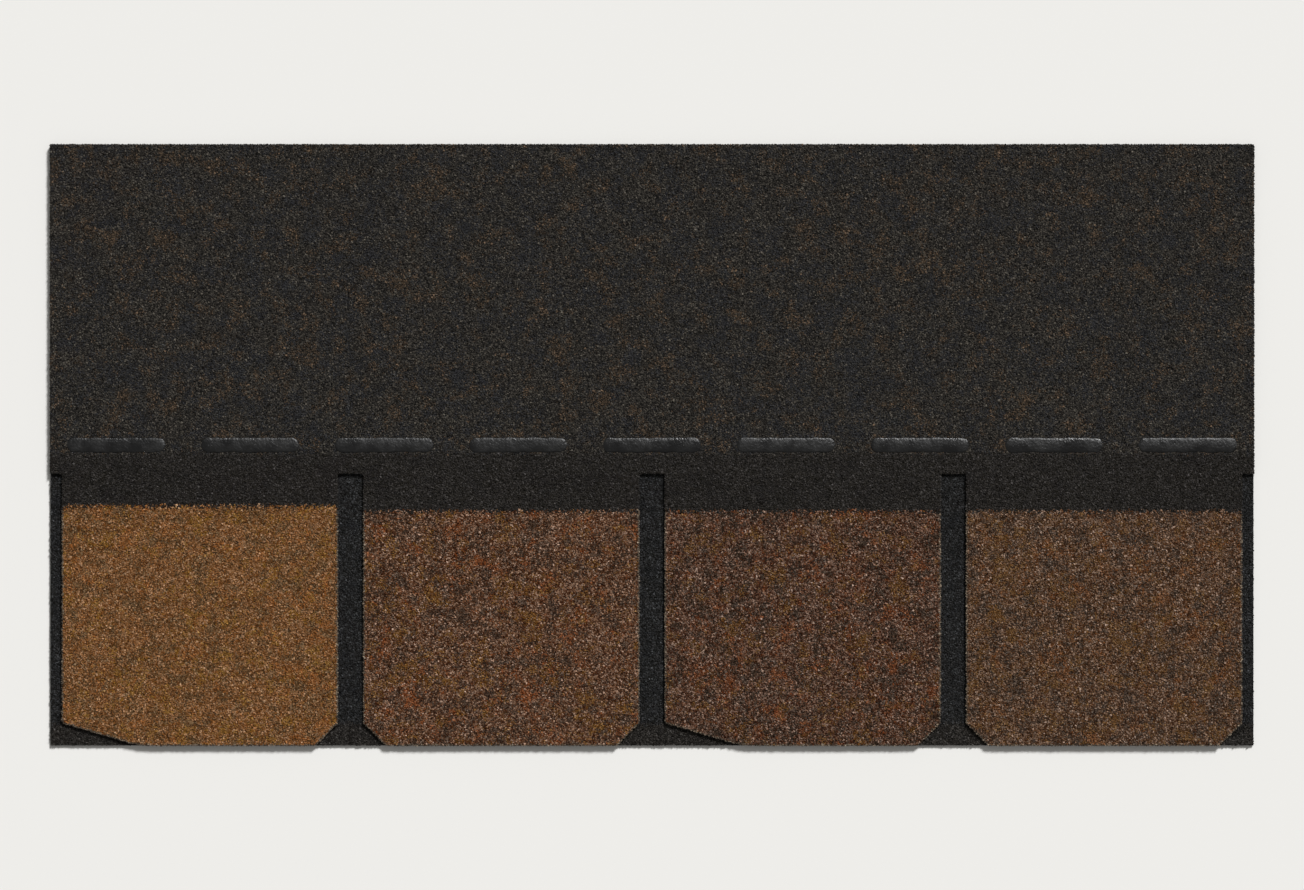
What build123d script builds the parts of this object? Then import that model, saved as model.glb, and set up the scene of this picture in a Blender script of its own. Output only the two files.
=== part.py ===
"""Laminated asphalt roofing shingle with a slate look, four tabs wide.

Two full-size sheets of asphalt-coated glass mat are bonded into one shingle. The base sheet is a plain
rectangle. The face sheet on top of it is die-cut along its lower part into four tabs with clipped
corners, so the dark base sheet shows in the slots between the tabs and below the clipped corners. A
row of sealant dashes lies on the face above the slots, where the next course covers it, and a strip
of release film is pressed flush into the back behind them.

Frame: +X runs along the course, +Y up the slope from the butt edge, +Z out of the roof. The origin is
the middle of the back face. All sizes are in millimetres.
"""

from build123d import *
import os

INCH = 25.4

# Whole shingle
SHINGLE_WIDTH = 36 * INCH
SHINGLE_HEIGHT = 18 * INCH
EXPOSURE = 8 * INCH
SHEET_THICKNESS = 2.5
BUTT_EDGE_Y = -SHINGLE_HEIGHT / 2

# Die-cut tabs of the face sheet
TAB_COUNT = 4
TAB_PITCH = SHINGLE_WIDTH / TAB_COUNT
SLOT_WIDTH = 18.5
SLOT_HEIGHT = EXPOSURE + INCH / 8
SLOT_TOP_Y = BUTT_EDGE_Y + SLOT_HEIGHT
SLOT_CORNER_RADIUS = 1.5

# Clipped lower corners: each tab's left and right one, from the left end of the shingle
CLIP_HEIGHT = 17.5
CLIP_WIDTH = {"short": 17.5, "long": 59.0}
CLIP_FOOT_RADIUS = {"short": 3.0, "long": 70.0}
CLIP_SHOULDER_RADIUS = 3.0
TAB_CLIPS = [("long", "short"), ("short", "short"), ("long", "short"), ("short", "short")]

# Sealant dashes on the face, above the line of the nails
SEAL_LINE_Y = BUTT_EDGE_Y + 9 * INCH
SEAL_DASH_COUNT = 9
SEAL_DASH_PITCH = SHINGLE_WIDTH / SEAL_DASH_COUNT
SEAL_DASH_LENGTH = 3 * INCH
SEAL_DASH_WIDTH = INCH / 2
SEAL_DASH_THICKNESS = 0.8
SEAL_EDGE_RADIUS = 0.5

# Release film in the back, behind the sealant
FILM_WIDTH = 1.5 * INCH
FILM_THICKNESS = 0.1


def tab_outline(tab_index):
    """Corners of one tab and the radius on each, clockwise from where it hangs from the headlap."""
    left_clip, right_clip = TAB_CLIPS[tab_index]
    centre_x = (tab_index - (TAB_COUNT - 1) / 2) * TAB_PITCH
    left_x = centre_x - (TAB_PITCH - SLOT_WIDTH) / 2
    right_x = centre_x + (TAB_PITCH - SLOT_WIDTH) / 2
    shoulder_y = BUTT_EDGE_Y + CLIP_HEIGHT
    corners = [
        ((left_x, SLOT_TOP_Y), 0),
        ((right_x, SLOT_TOP_Y), 0),
        ((right_x, shoulder_y), CLIP_SHOULDER_RADIUS),
        ((right_x - CLIP_WIDTH[right_clip], BUTT_EDGE_Y), CLIP_FOOT_RADIUS[right_clip]),
        ((left_x + CLIP_WIDTH[left_clip], BUTT_EDGE_Y), CLIP_FOOT_RADIUS[left_clip]),
        ((left_x, shoulder_y), CLIP_SHOULDER_RADIUS),
    ]
    points, radii = zip(*corners)
    return points, radii


# Base sheet: a plain rectangle with the film's shallow seat across its back
with BuildPart() as base_sheet:
    with BuildSketch():
        Rectangle(SHINGLE_WIDTH, SHINGLE_HEIGHT)
    extrude(amount=SHEET_THICKNESS)
    with BuildSketch():
        with Locations((0, SEAL_LINE_Y)):
            Rectangle(SHINGLE_WIDTH, FILM_WIDTH)
    extrude(amount=FILM_THICKNESS, mode=Mode.SUBTRACT)
base_sheet.part.label = "base_sheet"

# Release film: fills its seat, flush with the back
with BuildPart() as release_film:
    with BuildSketch():
        with Locations((0, SEAL_LINE_Y)):
            Rectangle(SHINGLE_WIDTH, FILM_WIDTH)
    extrude(amount=FILM_THICKNESS)
release_film.part.label = "release_film"

# Face sheet: a full-width headlap with the tabs hanging from it, each cut to its own clips
with BuildPart() as face_sheet:
    with BuildSketch(Plane.XY.offset(SHEET_THICKNESS)) as face_profile:
        with Locations((0, SLOT_TOP_Y)):
            Rectangle(SHINGLE_WIDTH, SHINGLE_HEIGHT - SLOT_HEIGHT, align=(Align.CENTER, Align.MIN))
        for tab_index in range(TAB_COUNT):
            points, radii = tab_outline(tab_index)
            with BuildLine():
                FilletPolyline(points, radius=radii, close=True)
            make_face()

        # Rounds the inner corners at the slots' tops, but not the two ends of the headlap
        slot_top_corners = face_profile.vertices().group_by(Axis.Y)[-2]
        fillet(slot_top_corners.sort_by(Axis.X)[1:-1], SLOT_CORNER_RADIUS)
    extrude(amount=SHEET_THICKNESS)
face_sheet.part.label = "face_sheet"

# Sealant: a row of round-ended dashes with softened top edges
with BuildPart() as seal_strip:
    with BuildSketch(Plane.XY.offset(2 * SHEET_THICKNESS)):
        with Locations((0, SEAL_LINE_Y)):
            with GridLocations(SEAL_DASH_PITCH, 0, SEAL_DASH_COUNT, 1):
                SlotOverall(SEAL_DASH_LENGTH, SEAL_DASH_WIDTH)
    extrude(amount=SEAL_DASH_THICKNESS)
    fillet(seal_strip.edges().group_by(Axis.Z)[-1], SEAL_EDGE_RADIUS)
seal_strip.part.label = "seal_strip"

os.makedirs("parts", exist_ok=True)
for piece in (base_sheet, release_film, face_sheet, seal_strip):
    export_step(piece.part, f"parts/{piece.part.label}.step")
    print(piece.part.label, "volume", round(piece.part.volume), "mm3")
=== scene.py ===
# %% [markdown]
# # A laminated asphalt roofing shingle
# The real shingle is two sheets of glass mat, each soaked in asphalt and covered with crushed rock
# granules. The face sheet is die-cut into four tabs, and the dark base sheet shows between them.
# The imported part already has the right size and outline, so this script reads both from it and
# spends its work on what gives the shingle its look: more than a hundred thousand coloured
# granules, the torn black edge that a cutting die leaves, the sanded back, the sealant and the
# release film.

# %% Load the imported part
import math
import random

import bmesh
import bpy
import numpy as np
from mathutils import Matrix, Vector, noise
from mathutils.geometry import delaunay_2d_cdt


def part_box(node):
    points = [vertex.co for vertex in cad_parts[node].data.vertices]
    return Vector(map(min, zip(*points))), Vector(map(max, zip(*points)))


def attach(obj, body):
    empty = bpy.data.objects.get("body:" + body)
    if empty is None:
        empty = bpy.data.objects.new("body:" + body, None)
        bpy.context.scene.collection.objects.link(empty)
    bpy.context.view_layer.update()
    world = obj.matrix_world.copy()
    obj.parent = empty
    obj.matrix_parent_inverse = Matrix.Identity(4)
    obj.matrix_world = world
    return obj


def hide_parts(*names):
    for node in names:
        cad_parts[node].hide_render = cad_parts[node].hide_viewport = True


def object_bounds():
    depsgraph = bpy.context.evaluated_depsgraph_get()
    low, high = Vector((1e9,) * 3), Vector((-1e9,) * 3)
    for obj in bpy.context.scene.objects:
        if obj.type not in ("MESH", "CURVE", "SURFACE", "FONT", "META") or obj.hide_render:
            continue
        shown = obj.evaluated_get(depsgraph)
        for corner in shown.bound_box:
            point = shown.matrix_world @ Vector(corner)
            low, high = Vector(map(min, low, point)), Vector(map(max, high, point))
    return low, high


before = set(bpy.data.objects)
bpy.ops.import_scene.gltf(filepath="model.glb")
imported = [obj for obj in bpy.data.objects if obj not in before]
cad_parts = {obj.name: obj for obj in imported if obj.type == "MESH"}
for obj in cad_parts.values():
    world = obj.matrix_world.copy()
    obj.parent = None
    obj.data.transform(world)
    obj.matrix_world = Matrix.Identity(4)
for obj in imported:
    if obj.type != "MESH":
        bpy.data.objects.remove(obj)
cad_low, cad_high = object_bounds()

MM = 0.001
scene = bpy.context.scene
print("CAD box in mm:", [round(x / MM, 2) for x in (*cad_low, *cad_high)])


# %% [markdown]
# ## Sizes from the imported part
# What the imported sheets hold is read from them, so the look follows the part if the part changes.
# A box can't say how many tabs there are or where the slots end, so those two are stated as the
# part has them. A size that only the finish has, such as a grain's, is stated where it is used.

# %% Read the sheets' sizes
base_low, base_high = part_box("base_sheet")
face_low, face_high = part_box("face_sheet")
SHEET_THICKNESS = base_high.z - base_low.z
BUTT_EDGE_Y = face_low.y
TAB_COUNT = 4
TAB_PITCH = (face_high.x - face_low.x) / TAB_COUNT
HEADLAP_Y = BUTT_EDGE_Y + (8 + 1 / 8) * 25.4 * MM  # the slots end 8 1/8 in above the butt edge
print("tab pitch", round(TAB_PITCH / MM, 1), "mm, sheet", round(SHEET_THICKNESS / MM, 2), "mm")


# %% [markdown]
# ## Small tools for nodes
# Geometry Nodes and materials are both trees of nodes, and both are built here by one function,
# which makes a node, gives it its settings and feeds its inputs. Many nodes keep several sockets
# of one name and switch on the one that fits their settings, so a name here means the socket that
# is switched on, and a number means a place in the list. A node that is given as an input stands
# for its first output that is switched on, which is nearly always the one wanted.

# %% Node helpers
def socket(sockets, key=None):
    """The socket at this place, or the first that is switched on and has this name, or any."""
    if isinstance(key, int):
        return sockets[key]
    return next(s for s in sockets if s.enabled and key in (None, s.name))


def feed(node, inputs):
    """Fills a node's inputs with values, and links those that are given an output or a node."""
    for key, value in inputs.items():
        target = socket(node.inputs, key)
        if isinstance(value, bpy.types.Node):
            value = socket(value.outputs)
        if isinstance(value, bpy.types.NodeSocket):
            node.id_data.links.new(value, target)
        else:
            target.default_value = value


def add(tree, kind, inputs=None, **settings):
    """Adds a node to a tree, with its settings and what it is fed."""
    made = tree.nodes.new(kind)
    for name, value in settings.items():
        setattr(made, name, value)
    feed(made, inputs or {})
    return made


print("sockets are named as in Blender", bpy.app.version_string)


# %% [markdown]
# ## Where a material starts
# A screen's hex colours are squeezed for the eye, and a shader wants the true amounts of light, so
# one function turns the first into the second. Every material below starts from its main colour,
# roughness and index of refraction, typical for what it is made of, and adds what varies.

# %% Colour and material helpers
def linear(hex_colour):
    """A colour written as sRGB hex, as the linear RGBA that shaders work in."""
    parts = [int(hex_colour[i : i + 2], 16) / 255 for i in (1, 3, 5)]
    # The curve of the sRGB standard: a straight start, and then a power
    return [p / 12.92 if p <= 0.04045 else ((p + 0.055) / 1.055) ** 2.4 for p in parts] + [1]


def plain_material(name, colour, roughness, ior=1.5):
    """A material with only its main values set: returns it, its tree and its shader."""
    material = bpy.data.materials.new(name)
    material.use_nodes = True
    shader = material.node_tree.nodes["Principled BSDF"]
    feed(shader, {"Base Color": linear(colour), "Roughness": roughness, "IOR": ior})
    return material, material.node_tree, shader


print("asphalt black as linear:", [round(x, 4) for x in linear("#0e0e0f")])


# %% [markdown]
# ## Granule blends of the tabs
# Each granule is crushed rock with a fired ceramic coat in one flat colour. The mill drops a main
# blend over the whole tab, and lets three smaller drops fall into it: a red one, a golden one and
# a slate one. Each falls in clouds of its own size, so patches of several hues lie over each other
# and no two tabs look alike. A drop is a mix of shades, and is written here as its darkest and its
# lightest one.

# %% Blends of the tabs
DROPS = {  # part of the face where it falls, and the size of its clouds in mm
    "red": (0.3, 17),
    "golden": (0.3, 13),
    "slate": (0.3, 9),
    "soot": (0.3, 13),
}
BLENDS = {
    "golden_tan": {
        "main": ("#673d16", "#b79170"),
        "red": ("#7e4a1e", "#aa784e"),
        "golden": ("#764f18", "#a27c4a"),
        "slate": ("#533618", "#8e7559"),
    },
    "rust_brown": {
        "main": ("#401e06", "#b39683"),
        "red": ("#65310f", "#a16d4e"),
        "golden": ("#5b360d", "#967349"),
        "slate": ("#2f1b0d", "#746357"),
    },
    "dark_rust": {
        "main": ("#371806", "#a68d7e"),
        "red": ("#5d2d0f", "#95674c"),
        "golden": ("#502f0c", "#8a6b47"),
        "slate": ("#29190c", "#6b5d54"),
    },
    "weathered_brown": {
        "main": ("#40230c", "#a48c7c"),
        "red": ("#5d3515", "#906a50"),
        "golden": ("#563716", "#896b4a"),
        "slate": ("#332316", "#706258"),
    },
}
print("tab blends:", ", ".join(BLENDS))


# %% [markdown]
# ## Dark blends and broken rock
# A slate look needs shadows, and the mill paints them with black granules: a band over the top of
# every tab, just where the next course's edge falls, and the whole base sheet, which shows in the
# slots. In the slots this black is painted darker than the granules are, as painted shade in the
# narrow recess between the tabs, and less dark at a slot's mouth, where the recess opens out.
# Above the band the sheet is hidden for good, and gets whatever is left over. The last blend is no
# drop at all: it is the raw rock inside the granules that the die has broken.

# %% Dark blends and broken rock
BLENDS["shadow_black"] = {"main": ("#1b1813", "#474443"), "soot": ("#1f1c1a", "#312f2e")}
# painted shade: the base sheet's own granules are the band's black, made darker here for the recessed
# slots
BLENDS["slot_black_painted_shade"] = {"main": ("#141311", "#464749"), "soot": ("#191919", "#2e2f31")}
# less painted shade at a slot's open mouth, between the clipped corners
BLENDS["slot_mouth"] = {"main": ("#1a1713", "#4e4b49"), "soot": ("#1f1c19", "#353230")}
BLENDS["headlap_mix"] = {
    "main": ("#191715", "#5c574f"),
    "golden": ("#2a231c", "#6d5a48"),
    "soot": ("#242427", "#3e3d3c"),
}
BLENDS["broken_rock"] = {"main": ("#3e352d", "#968876"), "soot": ("#51453a", "#857664")}
print(len(BLENDS), "blends of granules")


# %% [markdown]
# ## The shades of a drop
# A kiln load never comes out in one shade, so a drop has eight, from its darkest to its lightest,
# and the light ones are rare. They are almost evenly spaced to the eye, which is why they are
# worked out on the hex colours, before these are turned to amounts of light. The first of a
# granule's random numbers picks its shade, by the shares, which a colour ramp with constant steps
# does in one node.

# %% Shades of a drop
SHADES = [  # share of the granules, and place between the darkest shade and the lightest
    (16, 0.0), (17, 0.16), (18, 0.32), (17, 0.47), (14, 0.6), (10, 0.73), (6, 0.86), (2, 1.0),
]


def between(darkest, lightest, place):
    """The hex colour at a place from 0 to 1 between two others, evenly to the eye."""
    ends = [(int(darkest[i : i + 2], 16), int(lightest[i : i + 2], 16)) for i in (1, 3, 5)]
    return "#" + "".join(f"{round(low + place * (high - low)):02x}" for low, high in ends)


def palette(tree, pick, ends):
    """Turns a random number from 0 to 1 into one of a drop's shades, by their shares."""
    ramp = add(tree, "ShaderNodeValToRGB", {"Fac": pick})
    ramp.color_ramp.interpolation = "CONSTANT"
    stops = ramp.color_ramp.elements
    total, reached = sum(share for share, _ in SHADES), 0
    for index, (share, place) in enumerate(SHADES):
        stop = stops[index] if index < 2 else stops.new(reached / total)
        stop.position, stop.color = reached / total, linear(between(*ends, place))
        reached += share
    return ramp


print("shades of the golden tab:", *(between(*BLENDS["golden_tan"]["main"], p) for _, p in SHADES))


# %% [markdown]
# ## From random draws to a colour
# The second of a granule's random numbers decides whether a granule in a drop's cloud is one of
# the drop's. A cloud is slow noise with a soft edge, and the number is held against it, so a patch
# thins out granule by granule. To mix the colours themselves would be simpler, but would give
# tints that no granule has.

# %% Colour of one granule
CLOUDS = {"Detail": 3.0, "Roughness": 0.55}
CLOUDS_APART = 5.3  # between two drops' places in the noise's fourth dimension
NOISE_SPREAD = 0.45  # how far the noise's limit moves for a share, because it keeps to its middle
PATCH_EDGE = 0.14  # how far a patch's edge fades, as a part of the noise's range


def blend_colour(tree, place, draw, blend):
    """A granule's colour: its draw from the main blend, or from a drop inside that drop's clouds."""
    drops = dict(BLENDS[blend])
    colour = palette(tree, draw["X"], drops.pop("main"))
    for number, (drop, ends) in enumerate(drops.items()):
        share, size = DROPS[drop]
        slow = {"Vector": place, "W": CLOUDS_APART * number, "Scale": 1 / (size * MM), **CLOUDS}
        clouds = add(tree, "ShaderNodeTexNoise", slow, noise_dimensions="4D")
        limit = 0.5 + NOISE_SPREAD * (0.5 - share)
        edge = {"Value": clouds, "From Min": limit - PATCH_EDGE, "From Max": limit + PATCH_EDGE}
        likely = add(tree, "ShaderNodeMapRange", edge)
        in_patch = add(tree, "ShaderNodeMath", {0: likely, 1: draw["Y"]}, operation="GREATER_THAN")
        either = {"Factor": in_patch, "A": colour, "B": palette(tree, draw["X"], ends)}
        colour = add(tree, "ShaderNodeMix", either, data_type="RGBA")
    return colour


print("shades on a tab:", len(SHADES) * len(BLENDS["golden_tan"]))


# %% [markdown]
# ## Bands of colour
# Going up a zone, one blend gives way to the next, as where two hoppers' drops meet on the line.
# Each band is written as its blend and the height above the butt edge where it ends.

# %% Bands in each zone
COLOUR_TOP = 178  # mm above the butt edge, where a tab's own blend ends
SHADOW_TOP = 222  # mm above it, where the next course has long covered the shadow band
MOUTH_TOP = 17  # mm above it, up to where the slots are painted less dark, between the clipped corners
ZONES = {
    # The golden drop runs a little further up than the browns do
    "tab_1": [("golden_tan", COLOUR_TOP + 4), ("shadow_black", SHADOW_TOP)],
    "tab_2": [("rust_brown", COLOUR_TOP), ("shadow_black", SHADOW_TOP)],
    "tab_3": [("dark_rust", COLOUR_TOP), ("shadow_black", SHADOW_TOP)],
    "tab_4": [("weathered_brown", COLOUR_TOP), ("shadow_black", SHADOW_TOP)],
    "headlap": [("shadow_black", SHADOW_TOP), ("headlap_mix", None)],
    # slots: painted shade, darker up the narrow slot than at its open mouth
    "slots": [("slot_mouth", MOUTH_TOP), ("slot_black_painted_shade", None)],
    "rim": [("broken_rock", COLOUR_TOP), ("shadow_black", SHADOW_TOP), ("headlap_mix", None)],
}
print({zone: [blend for blend, _ in bands] for zone, bands in ZONES.items()})


# %% [markdown]
# ## Two materials for each zone
# The granules themselves are modelled, and each brings its own draws as an attribute. The fines
# that fill the gaps are too many to model. They are the cells of a Voronoi pattern on the sheet's
# face, where a cell's own random colour serves as its draws, and a shallow bump rounds each cell.
# Both materials use the same lists and clouds, so a patch runs on from granule to fines.

# %% Granule material
FINES_SIZE = 0.85 * MM  # across one cell. Real fines go down to 0.4 mm, too fine to show here
FINES_FALL = (0.35, 0.75)  # distances from a cell's middle, in cells, where its shade falls
FINES_RIM = 0.12  # of its shade that is left at its rim
FINES_RELIEF = 0.35 * MM
BAND_OVERLAP = 5 * MM  # over which one blend gives way to the next
FIRING_SPREAD = (0.8, 1.2)  # no two granules of one colour are fired alike


def granule_material(name, bands, as_fines=False):
    """Ceramic-coated crushed rock: matt and porous, with a flat colour of its own on each grain."""
    material, tree, shader = plain_material(name, "#5f4a38", roughness=0.75)
    feed(shader, {"Specular IOR Level": 0.12})  # the coat is porous and hardly glints
    place = add(tree, "ShaderNodeTexCoord").outputs["Object"]
    if as_fines:
        cells = add(tree, "ShaderNodeTexVoronoi", {"Vector": place, "Scale": 1 / FINES_SIZE})
        draws = cells.outputs["Color"]
    else:
        draws = add(tree, "ShaderNodeAttribute", attribute_name="granule_draw").outputs["Vector"]
    draw = add(tree, "ShaderNodeSeparateXYZ", {"Vector": draws}).outputs
    height = add(tree, "ShaderNodeSeparateXYZ", {"Vector": place}).outputs["Y"]

    colour = blend_colour(tree, place, draw, bands[0][0])
    for (_, top), (blend, _) in zip(bands, bands[1:]):
        start = BUTT_EDGE_Y + top * MM - BAND_OVERLAP / 2
        edge = {"Value": height, "From Min": start, "From Max": start + BAND_OVERLAP}
        likely = add(tree, "ShaderNodeMapRange", edge)
        is_above = add(tree, "ShaderNodeMath", {0: likely, 1: draw["Z"]}, operation="GREATER_THAN")
        either = {"Factor": is_above, "A": colour, "B": blend_colour(tree, place, draw, blend)}
        colour = add(tree, "ShaderNodeMix", either, data_type="RGBA")

    spread = {"Value": draw["Z"], "To Min": FIRING_SPREAD[0], "To Max": FIRING_SPREAD[1]}
    shade = add(tree, "ShaderNodeMapRange", spread)
    if as_fines:
        # A grain that is half drowned in asphalt is dark towards its rim, and rounded
        fall = {"Value": cells, "From Min": FINES_FALL[0], "From Max": FINES_FALL[1]}
        drowned = add(tree, "ShaderNodeMapRange", {**fall, "To Min": 1.0, "To Max": FINES_RIM})
        shade = add(tree, "ShaderNodeMath", {0: shade, 1: drowned}, operation="MULTIPLY")
        relief = {"Height": cells, "Distance": FINES_RELIEF}
        feed(shader, {"Normal": add(tree, "ShaderNodeBump", relief, invert=True)})
    shaded = add(tree, "ShaderNodeVectorMath", {0: colour, "Scale": shade}, operation="SCALE")
    feed(shader, {"Base Color": shaded})
    return material


granules = {zone: granule_material(f"{zone}_granules", bands) for zone, bands in ZONES.items()}
fines = {
    zone: granule_material(f"{zone}_fines", bands, as_fines=True)
    for zone, bands in ZONES.items()
    if zone != "rim"
}
print("materials:", ", ".join(m.name for m in (*granules.values(), *fines.values())))


# %% [markdown]
# ## The cut edge
# Where the die tears a sheet, the edge shows dull black oxidised asphalt, specked with the
# limestone dust that thickens it, and about halfway up the white ends of the glass mat. The mat
# is a band a few tenths of a millimetre high at one height in each sheet, so the distance from
# that height says where it can be, and noise breaks it into single tufts.

# %% Cut asphalt
MAT_HEIGHT = 0.45  # of the mat above a sheet's bottom, as a part of its thickness
MAT_FADE = (0.12 * MM, 0.3 * MM)  # how far off that height its ends start to fade, and are gone
TUFT_SIZE = 0.5 * MM
TUFT_EDGE = (0.5, 0.62)  # of the noise's range, over which a tuft's edge fades in
TEAR_RELIEF = 0.3 * MM
FILLER_SIZE = 0.6 * MM  # coarser than the real dust, which is too fine to show
FILLER_EDGE = (0.1, 0.3)  # distances from a cell's middle, in cells, over which a speck fades


def cut_asphalt():
    """Asphalt as the die tears it: dull black, specked with filler, with the mat's white ends."""
    material, tree, shader = plain_material("cut_asphalt", "#101011", roughness=0.6, ior=1.58)
    place = add(tree, "ShaderNodeTexCoord").outputs["Object"]
    height = add(tree, "ShaderNodeSeparateXYZ", {"Vector": place}).outputs["Z"]
    in_sheet = add(tree, "ShaderNodeMath", {0: height, 1: SHEET_THICKNESS}, operation="MODULO")
    from_mat = {0: in_sheet, 1: SHEET_THICKNESS * MAT_HEIGHT}
    from_mat = add(tree, "ShaderNodeMath", from_mat, operation="SUBTRACT")
    off_mat = add(tree, "ShaderNodeMath", {0: from_mat}, operation="ABSOLUTE")
    fade = {"Value": off_mat, "From Min": MAT_FADE[0], "From Max": MAT_FADE[1]}
    in_mat = add(tree, "ShaderNodeMapRange", {**fade, "To Min": 1.0, "To Max": 0.0})
    tufts = {"Vector": place, "Scale": 1 / TUFT_SIZE, **CLOUDS}
    tufts = add(tree, "ShaderNodeTexNoise", tufts, noise_dimensions="4D")
    noisy = {"Value": tufts, "From Min": TUFT_EDGE[0], "From Max": TUFT_EDGE[1]}
    is_tuft = add(tree, "ShaderNodeMapRange", noisy)
    shown = add(tree, "ShaderNodeMath", {0: in_mat, 1: is_tuft}, operation="MULTIPLY")
    filler = add(tree, "ShaderNodeTexVoronoi", {"Vector": place, "Scale": 1 / FILLER_SIZE})
    spot = {"Value": filler, "From Min": FILLER_EDGE[0], "From Max": FILLER_EDGE[1]}
    speck = add(tree, "ShaderNodeMapRange", {**spot, "To Min": 1.0, "To Max": 0.0})
    dust = {"Factor": speck, "A": linear("#0e0e0f"), "B": linear("#383734")}
    specked = add(tree, "ShaderNodeMix", dust, data_type="RGBA")
    glass = {"Factor": shown, "A": specked, "B": linear("#a5a399")}
    bump = add(tree, "ShaderNodeBump", {"Height": tufts, "Distance": TEAR_RELIEF})
    feed(shader, {"Base Color": add(tree, "ShaderNodeMix", glass, data_type="RGBA"), "Normal": bump})
    return material


cut_edge = cut_asphalt()
print(cut_edge.name, "with the mat", round(SHEET_THICKNESS * MAT_HEIGHT / MM, 2), "mm up in each sheet")


# %% [markdown]
# ## The sanded back
# The back is dusted with fine sand and a little mica while it is hot, so that shingles don't stick
# together in the bundle. It is dark grey and matt, with a pale grain here and there, and mottled
# where the asphalt has come through. Sand gets the same cells as the fines, with greyer colours.

# %% Sanded back
SAND_SIZE = 0.7 * MM  # coarser than real sand of 0.3 mm, so that it shows
SAND_RELIEF = 0.15 * MM
THIN_PLACES = 40 * MM  # across a patch where the asphalt comes through
THINNEST = 0.6  # of the sand that is gone in the middle of such a patch
SOFT_EDGE = (0.35, 0.7)  # of the noise's range, over which a patch fades in


def sanded_back_material():
    """Asphalt under a dusting of fine sand and mica: dark grey, matt and faintly mottled."""
    material, tree, shader = plain_material("sanded_back", "#3c3b39", roughness=0.8)
    place = add(tree, "ShaderNodeTexCoord").outputs["Object"]
    sand = add(tree, "ShaderNodeTexVoronoi", {"Vector": place, "Scale": 1 / SAND_SIZE})
    grain = add(tree, "ShaderNodeSeparateXYZ", {"Vector": sand.outputs["Color"]}).outputs["X"]
    mottle = {"Vector": place, "Scale": 1 / THIN_PLACES, **CLOUDS}
    mottle = add(tree, "ShaderNodeTexNoise", mottle, noise_dimensions="4D")
    patches = {"Value": mottle, "From Min": SOFT_EDGE[0], "From Max": SOFT_EDGE[1]}
    thin = add(tree, "ShaderNodeMapRange", {**patches, "To Max": THINNEST})
    covered = {"Factor": thin, "A": palette(tree, grain, ("#191919", "#7a756b")), "B": linear("#1b1b1c")}
    bump = add(tree, "ShaderNodeBump", {"Height": sand, "Distance": SAND_RELIEF}, invert=True)
    feed(shader, {"Base Color": add(tree, "ShaderNodeMix", covered, data_type="RGBA"), "Normal": bump})
    return material


sanded_back = sanded_back_material()
print(sanded_back.name, "with grains", SAND_SIZE / MM, "mm across")


# %% [markdown]
# ## The sealant
# The sealant is a soft thermoplastic asphalt, far glossier than the sheets. It is laid hot over
# granules, so its skin keeps their ripple. Dust settles on it in the bundle, in dull patches, so
# both the colour and the roughness follow the same slow noise.

# %% Sealant asphalt
RIPPLE_SIZE = 1.6 * MM  # about one granule
RIPPLE_RELIEF = 0.5 * MM
DUST_SIZE = 12 * MM  # across a dull patch
CLEAN, DUSTY = 0.28, 0.55  # roughness of the bare skin, and under dust


def sealant_asphalt():
    """Thermoplastic sealant: black and glossy, rippled by the granules that it was laid on."""
    material, tree, shader = plain_material("sealant_asphalt", "#0b0b0c", roughness=CLEAN, ior=1.55)
    place = add(tree, "ShaderNodeTexCoord").outputs["Object"]
    ripples = {"Vector": place, "Scale": 1 / RIPPLE_SIZE, **CLOUDS}
    ripples = add(tree, "ShaderNodeTexNoise", ripples, noise_dimensions="4D")
    dust = {"Vector": place, "W": 1.5, "Scale": 1 / DUST_SIZE, **CLOUDS}
    dust = add(tree, "ShaderNodeTexNoise", dust, noise_dimensions="4D")
    patches = {"Value": dust, "From Min": SOFT_EDGE[0], "From Max": SOFT_EDGE[1]}
    dusty = add(tree, "ShaderNodeMapRange", patches)
    dulled = add(tree, "ShaderNodeMapRange", {"Value": dusty, "To Min": CLEAN, "To Max": DUSTY})
    tints = {"Factor": dusty, "A": linear("#070708"), "B": linear("#161616")}
    feed(
        shader,
        {
            "Base Color": add(tree, "ShaderNodeMix", tints, data_type="RGBA"),
            "Roughness": dulled,
            "Normal": add(tree, "ShaderNodeBump", {"Height": ripples, "Distance": RIPPLE_RELIEF}),
        },
    )
    return material


sealant = sealant_asphalt()
print(sealant.name, "rippled every", round(RIPPLE_SIZE / MM, 1), "mm")


# %% [markdown]
# ## The release film
# A strip of clear polyester is pressed into the back, where the sealant of the shingle below would
# touch it in the bundle. Black asphalt shows through, and its colour is a silvery grey that is a
# painted reflection of the room on the smooth skin. Slow noise creases it faintly, and lightens and
# darkens its colour along the creases as a painted sheen.

# %% Polyester film
CREASE_SIZE = 25 * MM
CREASE_RELIEF = 0.8 * MM


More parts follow.
